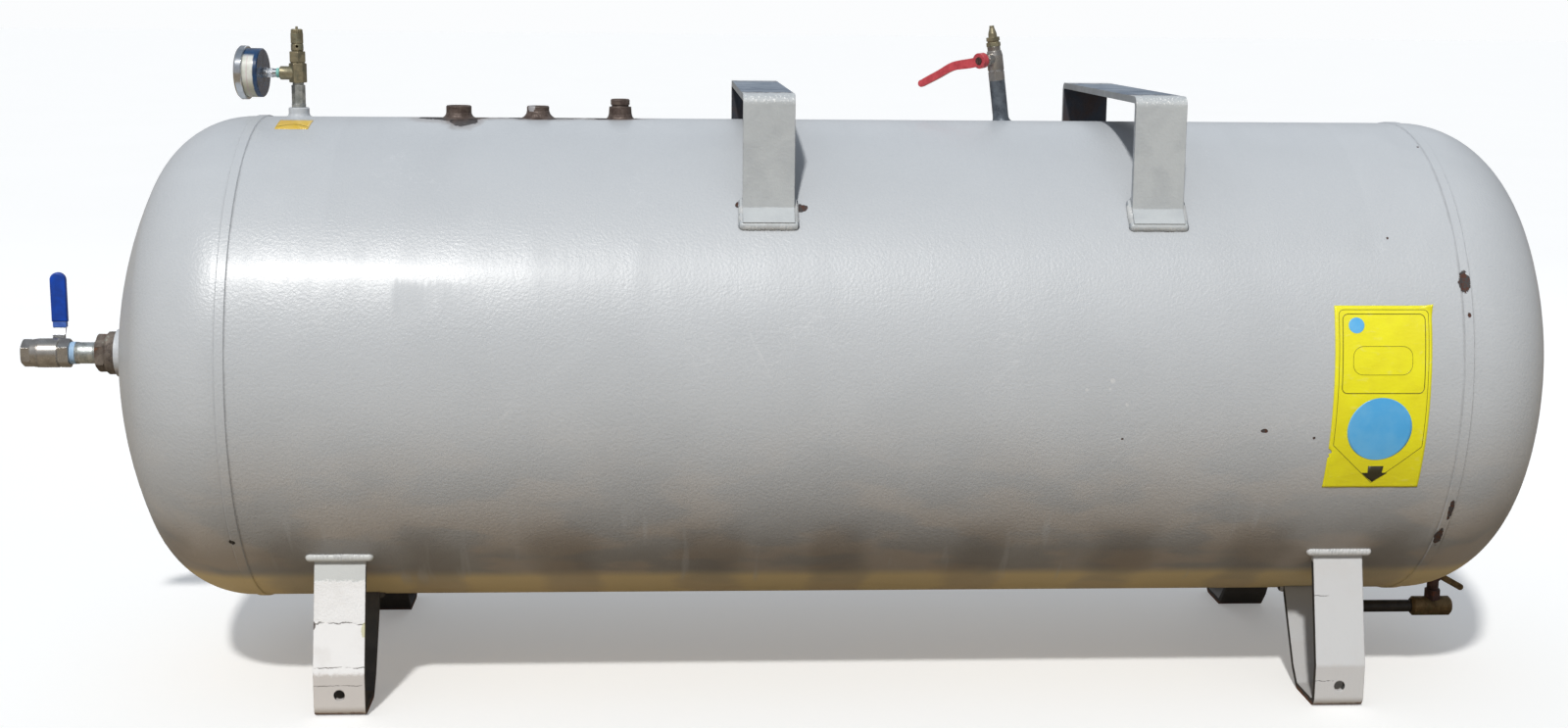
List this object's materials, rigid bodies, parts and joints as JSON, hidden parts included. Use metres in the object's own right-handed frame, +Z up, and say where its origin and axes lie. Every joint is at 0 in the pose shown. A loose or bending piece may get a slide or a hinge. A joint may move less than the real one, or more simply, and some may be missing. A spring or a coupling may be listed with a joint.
{
  "type": "horizontal pressure tank",
  "caption": "Horizontal steel pressure tank with dished ends, strap feet, top brackets, pressure gauge, relief valve, open sockets, lever valves and a drain.",
  "frame": {"origin": "centre of the overall box, on the ground", "axes": "+X along the tank towards the drain end, +Y to the back, +Z up"},
  "size_m": [1.9034, 0.603, 0.8087],
  "materials": {
    "tank_paint": "light grey gloss spray paint with orange peel",
    "foot_paint": "light grey brushed paint",
    "bracket_steel": "dark mill steel, painted grey below its top",
    "socket_steel": "bare heat-stained steel",
    "dark_iron": "dark oiled iron",
    "galvanised": "dull zinc coating",
    "nickel": "satin nickel plate",
    "zinc_steel": "bright zinc plate",
    "blue_grip": "dipped blue vinyl",
    "light_blue": "thin blue vinyl",
    "tape_blue": "pale blue thread tape",
    "tape_green": "pale green thread tape",
    "brass": "dull brass",
    "gauge_steel": "polished rim",
    "gauge_case": "dark blue-black case",
    "dial": "white dial",
    "needle": "black needle",
    "glass": "clear",
    "riser_steel": "dark oiled pipe",
    "red_lever": "red enamel",
    "drain_iron": "purple-brown oxide",
    "black_pipe": "black pipe",
    "old_brass": "tarnished brass"
  },
  "bodies": {
    "tank": {"shell": "tank_paint", "left_head": "tank_paint", "right_head": "tank_paint", "left_girth_weld": "tank_paint", "right_girth_weld": "tank_paint", "left_bracket": "bracket_steel", "right_bracket": "bracket_steel", "front_left_foot": "foot_paint", "back_left_foot": "foot_paint", "front_right_foot": "foot_paint", "back_right_foot": "foot_paint", "outlet_pad": "tank_paint", "outlet_socket": "dark_iron", "outlet_bushing": "dark_iron", "outlet_nipple": "galvanised", "thread_tape": "tape_blue", "valve_body": "nickel", "gauge_boss": "tank_paint", "gauge_riser": "galvanised", "gauge_tee": "brass", "gauge_tape": "tape_green", "gauge_stem": "gauge_steel", "gauge_case": "gauge_case", "gauge_bezel": "gauge_steel", "gauge_glass": "glass", "gauge_dial": "dial", "gauge_needle": "needle", "relief_body": "brass", "relief_cap": "brass", "top_socket_a": "socket_steel", "top_socket_b": "socket_steel", "top_socket_c": "socket_steel", "riser_pipe": "riser_steel", "small_valve": "nickel", "nozzle": "brass", "drain_nipple": "drain_iron", "drain_nut": "drain_iron", "drain_body": "old_brass", "drain_tail": "black_pipe"},
    "end_lever": {"valve_stem": "zinc_steel", "valve_lever": "zinc_steel", "lever_grip": "blue_grip", "grip_collar": "light_blue"},
    "small_lever": {"red_stem": "zinc_steel", "red_lever": "red_lever"},
    "drain_key": {"drain_wing": "old_brass"}
  },
  "joints": [
    {"name": "end_lever_turn", "type": "hinge", "parent": "tank", "child": "end_lever", "pos_m": [-0.91823, 0.0365, 0.393], "axis": [0, -1, 0], "range_deg": [0, 90]},
    {"name": "small_lever_turn", "type": "hinge", "parent": "tank", "child": "small_lever", "pos_m": [0.25132, 0.02212, 0.76456], "axis": [0.7486, 0.6561, 0.0959], "range_deg": [0, 90]},
    {"name": "drain_key_turn", "type": "hinge", "parent": "tank", "child": "drain_key", "pos_m": [0.87125, 0.0225, 0.09553], "axis": [0, 1, 0], "range_deg": [-29, 61]}
  ]
}
